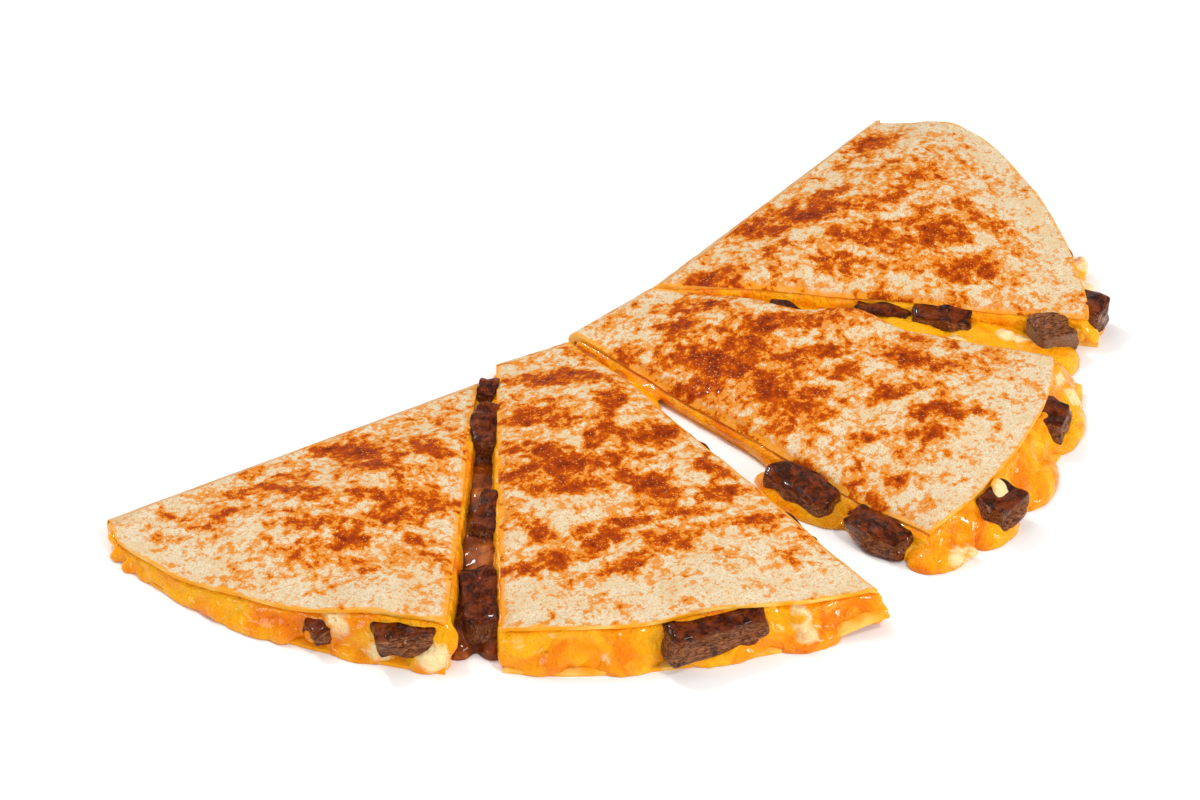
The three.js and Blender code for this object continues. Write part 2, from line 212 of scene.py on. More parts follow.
class Level:
    """A number that varies over a surface, so that sums of it read as plain Python."""

    def __init__(self, finish, socket):
        self.finish = finish
        self.socket = socket

    def maths(self, operation, first, second):
        return self.finish.node("ShaderNodeMath", {"operation": operation}, {0: first, 1: second})

    def __add__(self, other):
        return self.maths("ADD", self, other)

    def __radd__(self, other):
        return self.maths("ADD", other, self)

    def __sub__(self, other):
        return self.maths("SUBTRACT", self, other)

    def __rsub__(self, other):
        return self.maths("SUBTRACT", other, self)

    def __mul__(self, other):
        return self.maths("MULTIPLY", self, other)

    def __rmul__(self, other):
        return self.maths("MULTIPLY", other, self)


class Finish:
    """A procedural material, built from one Principled shader and the nodes that feed it."""

    def __init__(self, name, constants):
        self.material = bpy.data.materials.new(name)
        self.material.use_nodes = True
        self.tree = self.material.node_tree
        self.shader = self.tree.nodes["Principled BSDF"]
        for socket, value in constants.items():
            self.shader.inputs[socket].default_value = value

    def node(self, kind, settings, sockets, output=0):
        """One node: its type, its settings, then the values or links of its sockets."""
        made = self.tree.nodes.new(kind)
        for key, value in settings.items():
            if key == "stops":
                ramp = made.color_ramp
                while len(ramp.elements) < len(value):
                    ramp.elements.new(1.0)
                for element, (position, color) in zip(ramp.elements, value):
                    element.position = position
                    element.color = color
            else:
                setattr(made, key, value)
        for key, value in sockets.items():
            self.feed(made.inputs[key], value)
        return Level(self, made.outputs[output])

    def feed(self, socket, value):
        """Links a level to a socket, or sets the socket to a plain value."""
        if isinstance(value, Level):
            self.tree.links.new(value.socket, socket)
        else:
            socket.default_value = value

    def attribute(self, name, output="Fac"):
        """A value stored on the points of the mesh."""
        return self.node("ShaderNodeAttribute", {"attribute_name": name}, {}, output)

    def where(self):
        """Object coordinates, in metres."""
        return self.node("ShaderNodeTexCoord", {}, {}, "Object")

    def stretched(self, place, scale):
        """A place with each of its axes scaled."""
        return self.node("ShaderNodeVectorMath", {"operation": "MULTIPLY"}, {0: place, 1: scale})

    def clouds(self, place, scale, detail=3.0, roughness=0.55, distortion=0.0):
        """Soft noise from about 0.2 to 0.8, with 0.5 as its middle."""
        sockets = {"Vector": place, "Scale": scale, "Detail": detail,
                   "Roughness": roughness, "Distortion": distortion}
        return self.node("ShaderNodeTexNoise", {}, sockets, "Fac")

    def cells(self, place, scale):
        """Distance to the nearest of scattered points."""
        sockets = {"Vector": place, "Scale": scale}
        return self.node("ShaderNodeTexVoronoi", {"feature": "F1"}, sockets, "Distance")

    def step(self, level, low, high):
        """0 below low, 1 above high, smooth between; low may be the higher one."""
        settings = {"interpolation_type": "SMOOTHSTEP", "clamp": True}
        sockets = {"Value": level, "From Min": low, "From Max": high, "To Min": 0.0, "To Max": 1.0}
        return self.node("ShaderNodeMapRange", settings, sockets)

    def blend(self, first, second, share):
        """Two colours mixed by a share from 0 to 1."""
        settings = {"data_type": "RGBA", "blend_type": "MIX"}
        return self.node("ShaderNodeMix", settings, {0: share, 6: first, 7: second}, 2)

    def shades(self, level, stops):
        """A colour that follows a level along a ramp."""
        return self.node("ShaderNodeValToRGB", {"stops": stops}, {0: level}, "Color")

    def raised(self, height, depth, strength):
        """Fine relief: height from 0 to 1 stands for depth in metres."""
        sockets = {"Height": height, "Distance": depth, "Strength": strength}
        return self.node("ShaderNodeBump", {}, sockets, "Normal")


def color(red, green, blue):
    """A colour picked on screen, 0 to 255, as the shader wants it."""
    channels = (red / 255, green / 255, blue / 255)
    linear = (c / 12.92 if c <= 0.04045 else ((c + 0.055) / 1.055) ** 2.4 for c in channels)
    return (*linear, 1.0)


# Toasted face of the tortilla: cream dough with a grain like pressed rice, golden flecks,
# and red-brown sear marks with orange haloes. "lay" runs across and along the sheet in mm.
toasted = Finish("toasted tortilla", {
    "Specular IOR Level": 0.05,
    "Coat Roughness": 0.12,
    "Coat IOR": 1.35,
})
lay = toasted.attribute("lay", "Vector")
oil = toasted.attribute("oil")
sear = toasted.attribute("sear")
grain = toasted.clouds(toasted.stretched(lay, (0.7, 1.0, 1.0)), 1.3, 2.0, 0.5, 2.2)
fine = toasted.clouds(lay, 2.4, 2.0, 0.5, 1.4)
mottle = toasted.clouds(lay, 0.16, 4.0, 0.6)
patch = toasted.clouds(lay, 0.15, 3.0, 0.55, 0.5)
ragged = toasted.clouds(lay, 0.42, 4.0, 0.66, 0.3)
gold = toasted.clouds(lay, 0.8, 3.0, 0.7, 0.3)
char = sear * 0.47 + (patch - 0.5) * 1.5 + (ragged - 0.5) * 1.8 + 0.01
around = toasted.step(char, -0.16, 0.17)
flecks = toasted.step(gold + around * 0.21 + oil * 0.08, 0.55, 0.66)

# The two dough tones follow the same grain noise as the relief, lighter on the raised grains and darker
# between them: partly the dough's own mottle, partly painted shade of the grain.
dough = toasted.blend(color(200, 177, 137), color(226, 209, 179), toasted.step(grain, 0.36, 0.58))
dough = toasted.blend(dough, color(184, 150, 104), toasted.step(fine, 0.58, 0.70) * 0.5)
dough = toasted.blend(dough, color(212, 178, 126), toasted.step(mottle, 0.42, 0.62) * 0.45)
dough = toasted.blend(dough, color(224, 148, 26), around * 0.56)
dough = toasted.blend(dough, color(214, 124, 10), flecks * 0.75)
dough = toasted.blend(dough, color(240, 156, 30), toasted.step(oil, 0.3, 0.95) * 0.8)
crust = toasted.shades(char + (fine - 0.5) * 0.3, [
    (0.18, color(222, 140, 30)),
    (0.26, color(206, 102, 6)),
    (0.36, color(182, 76, 1)),
    (0.55, color(156, 56, 0)),
    (0.90, color(106, 30, 0)),
])
marked = toasted.step(char, 0.14, 0.23)
# Pale specks scattered over the sear marks: painted glints, standing in for the highlights on tiny beads
# of oil.
crust = toasted.blend(crust, color(246, 196, 124), toasted.step(toasted.cells(lay, 1.05), 0.22, 0.1) * 0.6)
toasted.feed(toasted.shader.inputs["Base Color"], toasted.blend(dough, crust, marked))
beads = toasted.step(toasted.cells(lay, 0.9), 0.30, 0.10) * toasted.step(char, 0.34, 0.5)
rough = 0.76 - toasted.step(char, 0.33, 0.55) * 0.26 - beads * 0.3 - toasted.step(oil, 0.5, 1.0) * 0.34
toasted.feed(toasted.shader.inputs["Roughness"], rough)
toasted.feed(toasted.shader.inputs["Coat Weight"], beads * 0.8)
relief = grain * 0.5 + fine * 0.3 + ragged * 0.3 + beads * 0.5 - toasted.step(char, 0.3, 0.6) * 0.2
toasted.feed(toasted.shader.inputs["Normal"], toasted.raised(relief, 0.0004, 0.5))

# Cut edge and rim of the tortilla: pale crumb that has soaked up orange fat.
soaked = Finish("cut edge of the tortilla", {"Specular IOR Level": 0.15})
here = soaked.where()
pores = soaked.clouds(here, 900.0, 3.0, 0.6)
stain = soaked.clouds(here, 130.0, 3.0, 0.55)
edge = soaked.blend(color(242, 194, 92), color(240, 158, 14), soaked.step(stain, 0.35, 0.62))
edge = soaked.blend(edge, color(212, 116, 18), soaked.step(pores, 0.56, 0.74) * 0.5)
soaked.feed(soaked.shader.inputs["Base Color"], edge)
soaked.feed(soaked.shader.inputs["Roughness"], 0.24 + stain * 0.3)
soaked.feed(soaked.shader.inputs["Normal"], soaked.raised(pores, 0.0004, 0.6))

# The sheets. A grid is wrapped round each wedge in plan: under it from the rim to the fold,
# round the fold, and back over the filling to the rim. Solidify gives it its thickness.
LOWER_STEPS = 34
FOLD_STEPS = 8
UPPER_STEPS = 112
ACROSS_STEPS = 112
WRAP_STEPS = LOWER_STEPS + FOLD_STEPS + UPPER_STEPS
UNDER, ROUND, OVER = "under", "round", "over"

for number in WEDGES:
    bm = bmesh.new()
    bmesh.ops.create_grid(bm, x_segments=ACROSS_STEPS, y_segments=WRAP_STEPS, size=0.5)
    lay_layer = bm.verts.layers.float_vector.new("lay")
    sear_layer = bm.verts.layers.float.new("sear")
    oil_layer = bm.verts.layers.float.new("oil")
    thick_layer = bm.verts.layers.deform.verify()
    sections = [Section(number, i / ACROSS_STEPS) for i in range(ACROSS_STEPS + 1)]
    middle = Section(number, 0.5)
    for vert in bm.verts:
        column = round((vert.co.x + 0.5) * ACROSS_STEPS)
        row = round((vert.co.y + 0.5) * WRAP_STEPS)
        section = sections[column]
        if row <= LOWER_STEPS:
            end = section.length + section.lip
            s = end + (FOLD_RADIUS - end) * row / LOWER_STEPS
            z = section.bottom(s)
            from_rim = end - s
            face = UNDER
        elif row < LOWER_STEPS + FOLD_STEPS:
            angle = math.pi * (row - LOWER_STEPS) / FOLD_STEPS
            s = FOLD_RADIUS - FOLD_RADIUS * math.sin(angle)
            z = FOLD_RADIUS - FOLD_RADIUS * math.cos(angle)
            from_rim = section.length - s
            face = ROUND
        else:
            share = (row - LOWER_STEPS - FOLD_STEPS) / UPPER_STEPS
            s = FOLD_RADIUS + (section.length - FOLD_RADIUS) * share
            z = section.top(s) if share > 0 else FOLD_HEIGHT
            from_rim = section.length - s
            face = OVER
        flat = section.place(s, 0)
        width_here = (sections[-1].place(s, 0) - sections[0].place(s, 0)).length
        from_cut = min(section.v, 1 - section.v) * width_here
        droop = WEDGES[number]["droop"][0 if section.v < 0.5 else 1]
        if face == OVER:
            blister = noise.noise(Vector((flat.x * 0.11, flat.y * 0.11, number)))
            blister += 0.5 * noise.noise(Vector((flat.x * 0.27, flat.y * 0.27, number + 5)))
            z += BLISTER * blister * smooth(0, 8, s)
            z -= sag(number, section.v, s, from_cut)
            marks = sear_at(number, flat.x, flat.y)
        else:
            below = flat - Vector((*section.way, 0)) * UNDER_SHIFT
            marks = sear_at(number, below.x, below.y) * 0.9
        marks -= 0.45 * (1 - smooth(3, 20, from_rim)) + 0.12 * (1 - smooth(0, 10, s))
        wobble = CUT_WOBBLE * noise.noise(Vector((s * 0.12, section.v * 3, number * 9)))
        side = -wobble if section.v < 0.5 else wobble
        vert.co = section.place(s, z, side * (1 - smooth(0, 5, from_cut)))
        offset = flat.to_2d() - middle.start
        across = offset.x * middle.way.y - offset.y * middle.way.x
        walk = offset.dot(middle.way) * (1 if face == OVER else -1)
        vert[lay_layer] = Vector((across, walk, WEDGE_STRIDE * number + z))
        vert[sear_layer] = marks
        from_edge = min(from_rim, from_cut)
        soak = 0.9 + (0.5 + 2.0 * droop) * (1 - smooth(0, 6, from_cut))
        seep = 1.3 * noise.noise(flat * 0.16) + 0.7 * noise.noise(flat * 0.5)
        vert[oil_layer] = 1 - smooth(0.2, soak, from_edge + seep)
        thinnest = RIM_SHEET / SHEET
        vert[thick_layer][0] = thinnest + (1 - thinnest) * smooth(0, RIM_TAPER, from_rim)
    bmesh.ops.recalc_face_normals(bm, faces=bm.faces)
    highest = max(bm.faces, key=lambda f: f.calc_center_median().z)
    if highest.normal.z < 0:
        bmesh.ops.reverse_faces(bm, faces=bm.faces)
    tortilla = finished(f"tortilla_{number}", bm, f"wedge_{number}_tortilla",
                        [toasted.material, soaked.material])
    tortilla.vertex_groups.new(name="thickness")
    wall = tortilla.modifiers.new("sheet thickness", "SOLIDIFY")
    wall.thickness = SHEET * MM
    wall.offset = -1.0
    wall.use_even_offset = False
    wall.vertex_group = "thickness"
    wall.material_offset = 1
    wall.material_offset_rim = 1
    rounding = tortilla.modifiers.new("worn edges", "BEVEL")
    rounding.limit_method = "ANGLE"
    rounding.angle_limit = math.radians(55)
    rounding.width = EDGE_ROUND * MM
    rounding.segments = 2

# Steak. Dice of grilled beef, 10 to 25 mm long, dark and glossy with a charred crust, and
# grey-brown where the knife went through them. They lie in the cheese and stick out of it.
# Each: place in plan, height of the middle, length, width, thickness, turn.
STEAK = {
    "steak_w1_front": (-46, -88.5, 6.6, 15, 11, 7.6, 10),
    "steak_w1_chip": (-66.2, -86, 4.9, 7, 6, 4, 35),
    "steak_w2_front": (27, -88.3, 6.9, 25, 10, 8.2, 22),
    "steak_w2_back_a": (23.6, -21.4, 4.4, 15, 8, 6.6, -53),
    "steak_w2_back_b": (46.6, -53, 4.4, 13, 8, 6.6, -53),
    "steak_w3_side_a": (51, -32.3, 3.5, 19.4, 9, 6.2, -42),
    "steak_w3_side_b": (68.5, -48.5, 3.4, 16.6, 8.6, 6, -40),
    "steak_w3_rim_a": (114.6, -7.6, 6, 10.5, 10, 8, 72),
    "steak_w3_rim_b": (99.4, -41.4, 6, 11, 9.6, 8, 50),
    "steak_w3_back": (50, 38, 4.6, 13, 7, 6.6, -20),
    "steak_w4_side_a": (75.2, 40, 4.4, 15, 8, 7, -8),
    "steak_w4_side_b": (91.3, 37.4, 4.6, 16, 9, 7.2, -12),
    "steak_w4_knob": (119.4, 30.6, 5, 10.5, 9.6, 7.4, 20),
    "steak_w4_corner": (130.2, 39.4, 5.8, 9.6, 9, 8, 60),
    "steak_w4_rim_a": (123, 66, 5.4, 13, 8, 7, -78),
    "steak_w4_rim_b": (114, 98, 5, 12, 8, 6.4, -66),
    "steak_gap_top": (-28.8, 4.5, 5.2, 8, 5, 6, 80),
    "steak_gap_a": (-29.2, -12, 5.6, 15, 7, 7, 86),
    "steak_gap_b": (-27.4, -45, 5.2, 16, 6.6, 6.6, 80),
    "steak_gap_c": (-28.8, -77.5, 5.4, 21, 8.6, 7, 96),
}

STEAK_CUTS = 9
STEAK_BLUNT = 0.21
STEAK_LIFT = 0.3
STEAK_STRIDE = 31.0
PALE_PIECE = "steak_w4_knob"

grilled = Finish("grilled steak", {
    "Specular IOR Level": 0.05,
    "Coat Roughness": 0.07,
    "Coat IOR": 1.27,
})
meat_place = grilled.attribute("fibre", "Vector")
crusted = grilled.attribute("crust")
strands = grilled.clouds(grilled.stretched(meat_place, (0.45, 1.3, 1.3)), 1.1, 4.0, 0.68, 1.4)
blotch = grilled.clouds(meat_place, 0.3, 4.0, 0.6, 0.4)
burnt = grilled.clouds(meat_place, 0.36, 3.0, 0.6)
inside = grilled.blend(color(90, 38, 14), color(186, 116, 70), grilled.step(strands, 0.38, 0.62))
outside = grilled.blend(color(66, 20, 5), color(146, 62, 22), grilled.step(blotch, 0.38, 0.62))
outside = grilled.blend(outside, color(176, 104, 62), grilled.step(strands, 0.54, 0.70) * 0.5)
meat = grilled.blend(inside, outside, grilled.step(crusted + (blotch - 0.5) * 1.3, 0.25, 0.6))
meat = grilled.blend(meat, color(26, 8, 4), grilled.step(burnt + crusted * 0.06, 0.60, 0.70) * 0.8)
meat = grilled.blend(meat, color(172, 132, 104), grilled.step(crusted, -0.2, -0.6) * 0.75)
grilled.feed(grilled.shader.inputs["Base Color"], meat)
grilled.feed(grilled.shader.inputs["Roughness"], 0.5 - grilled.step(blotch, 0.4, 0.62) * 0.22)
grilled.feed(grilled.shader.inputs["Coat Weight"], grilled.step(burnt, 0.36, 0.56) * 0.9)
knots = grilled.clouds(meat_place, 0.95, 3.0, 0.6)
grilled.feed(grilled.shader.inputs["Normal"],
             grilled.raised(strands * 0.9 + knots * 0.7, 0.0022, 1.0))

for index, (name, (x, y, z, length, width, thickness, turn)) in enumerate(STEAK.items()):
    bm = bmesh.new()
    bmesh.ops.create_cube(bm, size=2.0)
    bmesh.ops.subdivide_edges(bm, edges=bm.edges[:], cuts=STEAK_CUTS, use_grid_fill=True)
    fibre_layer = bm.verts.layers.float_vector.new("fibre")
    crust_layer = bm.verts.layers.float.new("crust")
    for vert in bm.verts:
        cube = vert.co.copy()
        ball = cube.normalized() * 1.25
        vert.co = cube.lerp(ball, STEAK_BLUNT)
        grilled_side = smooth(0.55, 0.95, abs(cube.z)) * 0.7 + smooth(0.8, 1.0, cube.x) * 0.35
        vert[crust_layer] = grilled_side - (0.8 if name == PALE_PIECE else 0.0)
        vert.co.x *= length / 2
        vert.co.y *= width / 2
        vert.co.z *= thickness / 2
        seat = vert.co + Vector((STEAK_STRIDE * index, 0, 0))
        push = 1.9 * noise.noise(seat * 0.17) + 1.0 * noise.noise(seat * 0.36)
        ridge = 0.35 * noise.noise(Vector((seat.x * 0.15, seat.y * 1.1, seat.z * 1.1)))
        vert[fibre_layer] = seat
        vert.co += cube.normalized() * (push + ridge)
    bmesh.ops.smooth_vert(bm, verts=bm.verts, factor=0.4,
                          use_axis_x=True, use_axis_y=True, use_axis_z=True)
    turned = Matrix.Rotation(math.radians(turn), 3, "Z")
    bmesh.ops.rotate(bm, cent=(0, 0, 0), matrix=turned, verts=bm.verts)
    bmesh.ops.translate(bm, vec=(x - CENTRE.x, y - CENTRE.y, z), verts=bm.verts)
    for vert in bm.verts:
        vert.co.z = max(vert.co.z, STEAK_LIFT)
    steak = finished(name.replace("steak", "steak_piece"), bm, name, [grilled.material])
    rounded = steak.modifiers.new("soft edges", "SUBSURF")
    rounded.levels = 1
    rounded.render_levels = 1

# Cheese. Grated orange and white cheese that melted between the sheets, filled the fold,
# and ran out over the lower sheet at the rims and the cuts, where it set in thick lobes.
# Pools: place in plan, half length, half width, turn, height.
POOLS = {
    1: [(-40.5, -92.6, 5.5, 4.2, 0, 5.5), (-101, -67.6, 9, 3.6, -42, 3.6), (-83, -79.6, 10, 4, -24, 4),
        (-57, -89.4, 9, 3.4, -14, 3.6)],
    2: [(-14, -93.8, 8, 3.8, 0, 5), (5, -93.6, 9, 4, 0, 5), (29, -89.9, 10, 4, 12, 4.4),
        (50, -84.6, 9, 4.4, 20, 5)],
    3: [(8, 8, 11, 4.4, -43, 5.5), (50.5, -32.6, 15, 6.2, -43, 5.4), (70, -47.4, 11.5, 5, -38, 5.2),
        (83, -55, 8, 5.4, 20, 5), (97.4, -43.6, 9, 6, 52, 6.5), (109.4, -26.6, 11, 6, 66, 6),
        (118.4, -2, 13, 7, 76, 5.6)],
    4: [(127.5, 57, 11, 5, -82, 6), (119, 86, 14, 5, -70, 5), (130, 42, 7, 5.6, 90, 5.4)],
}
# White cheese, measured from the middle of the finished piece: place, half length, half
# width, half height, turn, and how far the lump points up.
WHITES = {
    1: [(-68.7, -101.5, 8.6, 4.5, 2.2, 1.8, 20, -20), (-68.5, -104, 6.6, 4.5, 2.2, 1.6, -20, -25),
        (-58, -108.2, 4.4, 6, 2.4, 1.6, -25, -12), (-46, -111.5, 3.6, 4.5, 3, 2, 20, -8)],
    2: [(-10.3, -108.4, 8.6, 1.8, 1.7, 2.2, 90, -60), (-9, -109.6, 5.6, 3, 1.2, 1.1, -60, -50),
        (-5.6, -111, 3.2, 3.4, 1.2, 1.0, -25, -18), (40.6, -101.8, 7.6, 3.4, 3, 3, 90, -50),
        (42.4, -103.8, 4.2, 3.2, 2.4, 1.8, 70, -20), (-26, -109, 5.4, 4.6, 3, 3, 10, -40)],
    3: [(111.4, -9, 6.6, 3.6, 1.7, 1.5, -48, -25), (115, -12.2, 4.6, 4.4, 1.8, 1.4, -42, -20),
        (92.4, -57, 9.3, 5.6, 3, 1.6, -70, -26), (80.4, -73.6, 2.6, 3.6, 2.4, 1.5, 10, -5),
        (84, -71.8, 2.4, 3, 2.4, 1.4, 30, -5)],
    4: [(123.4, 44.5, 4.6, 7, 3, 3.4, 84, -14), (124, 36, 3.2, 4.4, 2.8, 2.4, 84, -10)],
}
VOXEL = 0.55
SMOOTHINGS = 9
RUMPLE = 0.35
SLAB_STEPS = 48
SLAB_START = 3.6
SLAB_SIDE = 1.1
SLAB_EDGE = 2.6
TUCK = SHEET * 0.6
FLOAT = 0.2
POOL_SINK = 0.82
WHITE_SIZE = 0.8
RIM_LOBES = 20
BULGE = 0.9

melted = Finish("melted cheese", {
    "Subsurface Weight": 0.3,
    "Subsurface Radius": (1.0, 0.5, 0.12),
    "Subsurface Scale": 0.0018,
    "Specular IOR Level": 0.05,
    "Coat Roughness": 0.05,
    "Coat IOR": 1.3,
})
here = melted.where()
white = melted.attribute("white")
swirl = melted.clouds(here, 62.0, 3.0, 0.5, 1.2)
pale = melted.clouds(here, 110.0, 4.0, 0.55, 1.2)
speck = melted.clouds(here, 620.0, 2.0, 0.5)
tone = melted.shades(swirl, [
    (0.40, color(250, 172, 12)),
    (0.53, color(246, 152, 3)),
    (0.64, color(238, 128, 0)),
    (0.80, color(218, 94, 0)),
])
tone = melted.blend(tone, color(246, 186, 46), melted.step(pale, 0.55, 0.70) * 0.6)
creamy = melted.step(white + (pale - 0.5) * 2.4, 0.38, 1.0) * 0.85
tone = melted.blend(tone, color(250, 226, 172), creamy)
tone = melted.blend(tone, color(156, 70, 18), melted.step(speck, 0.70, 0.76) * 0.55)
melted.feed(melted.shader.inputs["Base Color"], tone)
melted.feed(melted.shader.inputs["Roughness"], 0.14 + melted.step(swirl, 0.4, 0.7) * 0.14)
melted.feed(melted.shader.inputs["Coat Weight"], 0.7 + melted.step(pale, 0.35, 0.6) * 0.3)
bubble = melted.clouds(here, 340.0, 3.0, 0.55)
ripples = melted.clouds(here, 1100.0, 2.0, 0.5)
melted.feed(melted.shader.inputs["Normal"],
            melted.raised(bubble + ripples * 0.3, 0.0019, 0.85))


def lobe(bm, place, sizes, turn, pitch):
    """A rounded lump of cheese: half sizes in mm, turn in plan, how far its far end points up."""
    spun = Matrix.Rotation(math.radians(turn), 4, "Z") @ Matrix.Rotation(math.radians(-pitch), 4, "Y")
    matrix = Matrix.Translation(place) @ spun @ Matrix.Diagonal((*sizes, 1.0))
    bmesh.ops.create_icosphere(bm, subdivisions=3, radius=1.0, matrix=matrix)


def set_cheese(name, bm, node, whites, material):
    """Melts all shells of the bmesh into one skin, roughens it, and makes it the piece."""
    mesh = bpy.data.meshes.new("shells")
    bm.to_mesh(mesh)
    bm.free()
    shells = bpy.data.objects.new("shells", mesh)
    bpy.context.collection.objects.link(shells)
    remesh = shells.modifiers.new("melt", "REMESH")
    remesh.mode = "VOXEL"
    remesh.voxel_size = VOXEL
    skin = shells.evaluated_get(bpy.context.evaluated_depsgraph_get()).to_mesh()
    bm = bmesh.new()
    bm.from_mesh(skin)
    bpy.data.objects.remove(shells)
    bpy.data.meshes.remove(mesh)
    for _ in range(SMOOTHINGS):
        bmesh.ops.smooth_vert(bm, verts=bm.verts, factor=0.5,
                              use_axis_x=True, use_axis_y=True, use_axis_z=True)
    bm.normal_update()
    white_layer = bm.verts.layers.float.new("white")
    for vert in bm.verts:
        place = vert.co
        coarse = noise.noise(place * 0.22)
        fine = noise.noise(place * 0.55)
        most = 0.0
        for x, y, z, half_length, half_width, *_ in whites:
            away = place - Vector((x, y, z))
            reach = (half_length + half_width) / 2
            most = max(most, 1.0 - smooth(0.3, 1.7, away.length / reach))
        vert[white_layer] = most
        vert.co += vert.normal * RUMPLE * (coarse + 0.5 * fine)
        vert.co.z = max(vert.co.z, 0.05)
    return finished(name, bm, node, [material])


random.seed(8)
for number in WEDGES:
    bm = bmesh.new()
    bmesh.ops.create_grid(bm, x_segments=SLAB_STEPS, y_segments=SLAB_STEPS, size=0.5)
    columns = [Section(number, i / SLAB_STEPS) for i in range(SLAB_STEPS + 1)]
    layout = {}
    for vert in bm.verts:
        column = round((vert.co.x + 0.5) * SLAB_STEPS)
        share = vert.co.y + 0.5
        section = columns[column]
        reach = 0.66 + 0.2 * math.sin(17 * section.v + number) + 0.12 * math.sin(41 * section.v)
        edge = section.length + max(0.9, section.lip * reach)
        s = SLAB_START + (edge - SLAB_START) * share
        inside = min(s, section.length)
        width_here = (columns[-1].place(inside, 0) - columns[0].place(inside, 0)).length
        from_cut = min(section.v, 1 - section.v) * width_here
        under = section.top(inside) - sag(number, section.v, inside, from_cut) - TUCK
        past = smooth(section.length - 0.4, edge, s)
        upper = under + (SLAB_EDGE - under) * past ** 1.5
        side = SLAB_SIDE if column == SLAB_STEPS else -SLAB_SIDE if column == 0 else 0.0
        layout[vert] = (section, s, max(upper, SHEET), side)
    grown = bmesh.ops.extrude_face_region(bm, geom=bm.faces[:])
    raised = [v for v in grown["geom"] if isinstance(v, bmesh.types.BMVert)]
    above = {}
    for vert in raised:
        above[(round(vert.co.x, 5), round(vert.co.y, 5))] = vert
    for vert, (section, s, upper, side) in layout.items():
        twin = above[(round(vert.co.x, 5), round(vert.co.y, 5))]
        twin.co = section.place(s, upper, side)
        vert.co = section.place(s, section.bottom(s) + TUCK, side)
    bmesh.ops.recalc_face_normals(bm, faces=bm.faces)

    # Lobes along the open rim, from under the upper sheet down over the lower one. None is
    # so thick that it would come up through the upper sheet.
    for i in range(RIM_LOBES):
        v = (i + random.random()) / RIM_LOBES
        section = Section(number, v)
        room = section.top(section.length) - SHEET - 0.7
        down = random.random()
        s = section.length - 1.6 + (section.lip * 0.7 + 1.2) * down
        pitch = 20 + 40 * down
        half_length = min(random.uniform(2.6, 5.0), 0.8 * room, 1.6 + section.lip)
        half_height = min(1.9, 0.34 * room)
        rise = math.hypot(half_length * math.sin(math.radians(pitch)), half_height)
        z = min(SHEET + (room - SHEET) * (1 - down) ** 0.8, room - rise)
        sizes = (half_length, random.uniform(2.2, 4.2), half_height)
        turn = math.degrees(math.atan2(section.way.y, section.way.x)) + random.uniform(-30, 30)
        lobe(bm, section.place(s, max(z, 1.2)), sizes, turn, -pitch)

    # Beads that hang out from under the upper sheet along the cut sides.
    for v, outwards in ((0.0, -1), (1.0, 1)):
        section = Section(number, v)
        turn = math.degrees(math.atan2(section.way.y, section.way.x))
        s = 14.0
        while s < section.length - 6:
            half = random.uniform(4.5, 9.0)
            thick = random.uniform(1.2, 1.7)
            z = section.top(s) - sag(number, v, s, 0) - SHEET - 0.5 - thick
            if z > thick:
                bulge = outwards * (BULGE * random.random() - 0.3)
                lobe(bm, section.place(s, z, bulge), (half, 1.5, thick), turn, 0)
            s += half * random.uniform(0.5, 0.9)

    for x, y, half_length, half_width, turn, height in POOLS[number]:
        place = (x - CENTRE.x, y - CENTRE.y, FLOAT)
        lobe(bm, place, (half_length, half_width, height * POOL_SINK), turn, 0)
    for x, y, z, half_length, half_width, half_height, turn, pitch in WHITES[number]:
        sizes = [half * WHITE_SIZE for half in (half_length, half_width, half_height)]
        lobe(bm, (x, y, z), sizes, turn, pitch)
    set_cheese(f"cheese_{number}", bm, f"wedge_{number}_cheese", WHITES[number], melted.material)

# Melt between the wedges. Fat, juice and cheese that ran together in the gaps after the
# cut, and hold the wedges to each other: a brown one at the left, a yellow one at the right.
BRIDGES = {
    "melt_1_2": [(-29.3, 3, 10, 6, 86, 5), (-29.4, -12, 13, 8, 90, 6), (-29.2, -32, 13, 9, 90, 5.4),
                 (-28.8, -52, 14, 10, 90, 5.8), (-28.8, -72, 14, 11, 90, 5.4),
                 (-33.6, -84, 8, 5, 90, 4.6), (-25.4, -84, 8, 5, 90, 4.6)],
    "melt_3_4": [(52, 40.5, 18, 7, -12, 5.4), (78, 35, 18, 9, -14, 6.4), (102, 30, 16, 11, -16, 6),
                 (117, 26, 10, 10, 0, 5)],
}
BRIDGE_WHITES = {
    "melt_1_2": [],
    "melt_3_4": [(86, 10, 5, 4.5, 2.4, 1.6, 5, 0), (100, 12.6, 5.4, 3.4, 2, 1.4, 30, 0),
                 (104, 11, 4.8, 3, 2, 1.4, -20, 0)],
}

juicy = Finish("meat juice and melted fat", {
    "Specular IOR Level": 0.1,
    "Coat Weight": 0.7,
    "Coat Roughness": 0.05,
    "Coat IOR": 1.3,
})
here = juicy.where()
pooled = juicy.clouds(here, 95.0, 4.0, 0.6, 0.8)
grit = juicy.clouds(here, 500.0, 3.0, 0.6)
sauce = juicy.shades(pooled, [
    (0.34, color(92, 38, 10)),
    (0.47, color(124, 56, 10)),
    (0.58, color(168, 86, 12)),
    (0.70, color(200, 118, 26)),
])
sauce = juicy.blend(sauce, color(64, 24, 8), juicy.step(grit, 0.58, 0.70) * 0.5)
juicy.feed(juicy.shader.inputs["Base Color"], sauce)
juicy.feed(juicy.shader.inputs["Roughness"], 0.2 + pooled * 0.2)
juicy.feed(juicy.shader.inputs["Normal"], juicy.raised(pooled + grit * 0.4, 0.0030, 0.9))
MELTS = {"melt_1_2": juicy.material, "melt_3_4": melted.material}

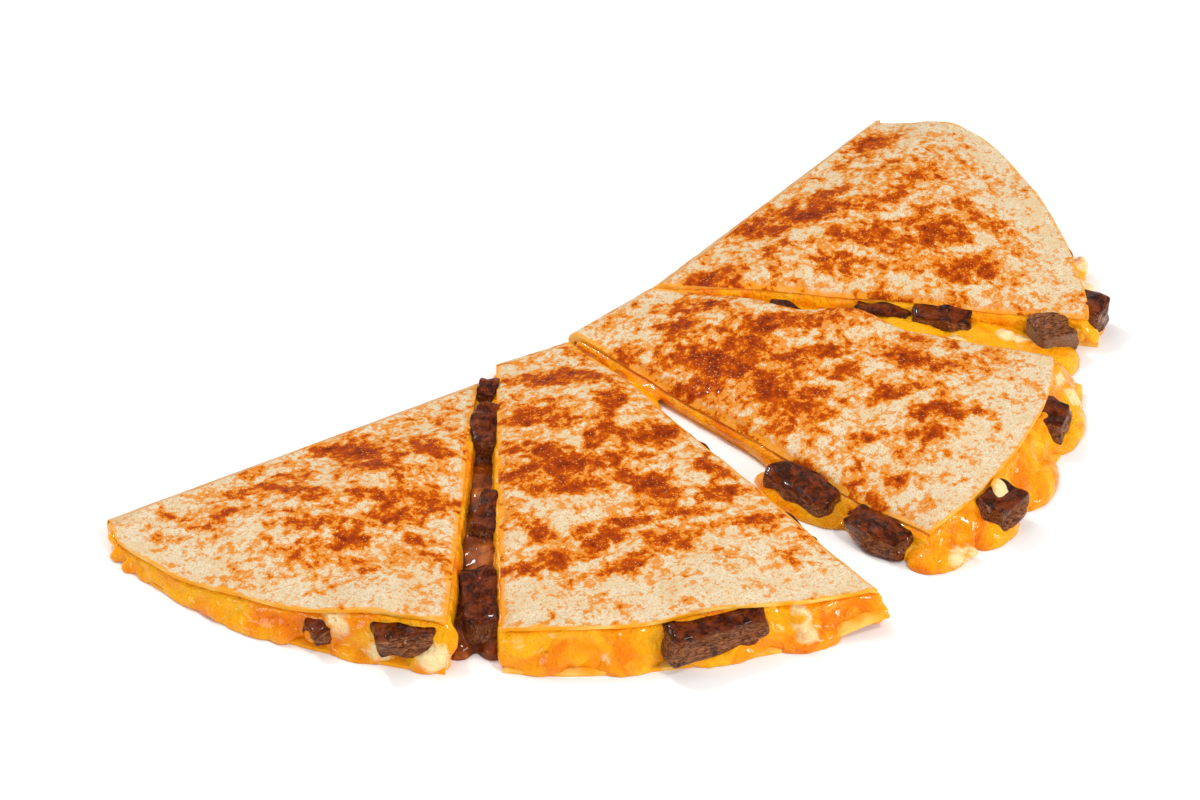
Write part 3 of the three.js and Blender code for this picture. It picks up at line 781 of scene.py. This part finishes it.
for name, domes in BRIDGES.items():
    bm = bmesh.new()
    for x, y, half_length, half_width, turn, height in domes:
        place = (x - CENTRE.x, y - CENTRE.y, FLOAT)
        lobe(bm, place, (half_length, half_width, height), turn, 0)
    for x, y, z, half_length, half_width, half_height, turn, pitch in BRIDGE_WHITES[name]:
        lobe(bm, (x, y, z), (half_length, half_width, half_height), turn, pitch)
    set_cheese(name.replace("melt", "melted_bridge"), bm, name, BRIDGE_WHITES[name], MELTS[name])

# Studio. A near-white sweep under soft overhead light, as for a menu picture.
floor_paint = Finish("white sweep", {"Roughness": 0.9, "Specular IOR Level": 0.1})
floor_tone = floor_paint.clouds(floor_paint.where(), 3.0)
floor_paint.feed(floor_paint.shader.inputs["Base Color"],
                 floor_paint.blend((0.93, 0.93, 0.93, 1), (0.95, 0.95, 0.95, 1), floor_tone))
FLOOR_HALF = 4.0
FLOOR_DROP = 0.00005
bm = bmesh.new()
bmesh.ops.create_grid(bm, x_segments=1, y_segments=1, size=FLOOR_HALF)
bmesh.ops.translate(bm, vec=(0, 0, -FLOOR_DROP), verts=bm.verts)
floor_mesh = bpy.data.meshes.new("floor")
bm.to_mesh(floor_mesh)
bm.free()
floor_mesh.materials.append(floor_paint.material)
floor = bpy.data.objects.new("floor", floor_mesh)
bpy.context.collection.objects.link(floor)


def softbox(name, place, size, power, tint):
    """A square area light that faces the food, which lies at the origin."""
    lamp = bpy.data.lights.new(name, "AREA")
    lamp.shape = "SQUARE"
    lamp.size = size
    lamp.energy = power
    lamp.color = tint
    light = bpy.data.objects.new(name, lamp)
    light.location = place
    light.rotation_euler = (-Vector(place)).to_track_quat("-Z", "Y").to_euler()
    bpy.context.collection.objects.link(light)


WARM = (1.0, 0.98, 0.95)
WARMER = (1.0, 0.97, 0.93)
WHITE_LIGHT = (1.0, 1.0, 1.0)
softbox("overhead", (-0.25, 0.2, 0.95), 0.7, 2.6, WARM)
softbox("front left", (-0.70, -0.65, 0.30), 0.30, 1.7, WARMER)
softbox("glint left", (-0.35, 0.3, 0.75), 0.08, 1.7, WHITE_LIGHT)
softbox("glint right", (0.35, -0.35, 0.75), 0.08, 1.7, WHITE_LIGHT)
softbox("glint front", (-0.12, -0.85, 0.20), 0.05, 0.25, WHITE_LIGHT)
softbox("glint rim", (0.80, -0.35, 0.26), 0.09, 2.0, WHITE_LIGHT)
softbox("front right", (0.75, -0.55, 0.42), 0.22, 2.5, WARMER)
softbox("back left", (-0.7, 0.6, 0.5), 0.3, 1.9, WHITE_LIGHT)

world = bpy.data.worlds.new("studio")
bpy.context.scene.world = world
world.use_nodes = True
world.node_tree.nodes["Background"].inputs["Color"].default_value = (1.0, 1.0, 1.0, 1.0)
world.node_tree.nodes["Background"].inputs["Strength"].default_value = 0.43

view = bpy.data.cameras.new("camera")
view.lens = 105.0
view.sensor_width = 36.0
camera = bpy.data.objects.new("camera", view)
camera.location = (-0.0070, -0.7261, 0.5611)
camera.rotation_euler = (math.radians(52.0), 0.0, 0.0)
bpy.context.collection.objects.link(camera)
bpy.context.scene.camera = camera
bpy.context.scene.view_settings.view_transform = "Standard"
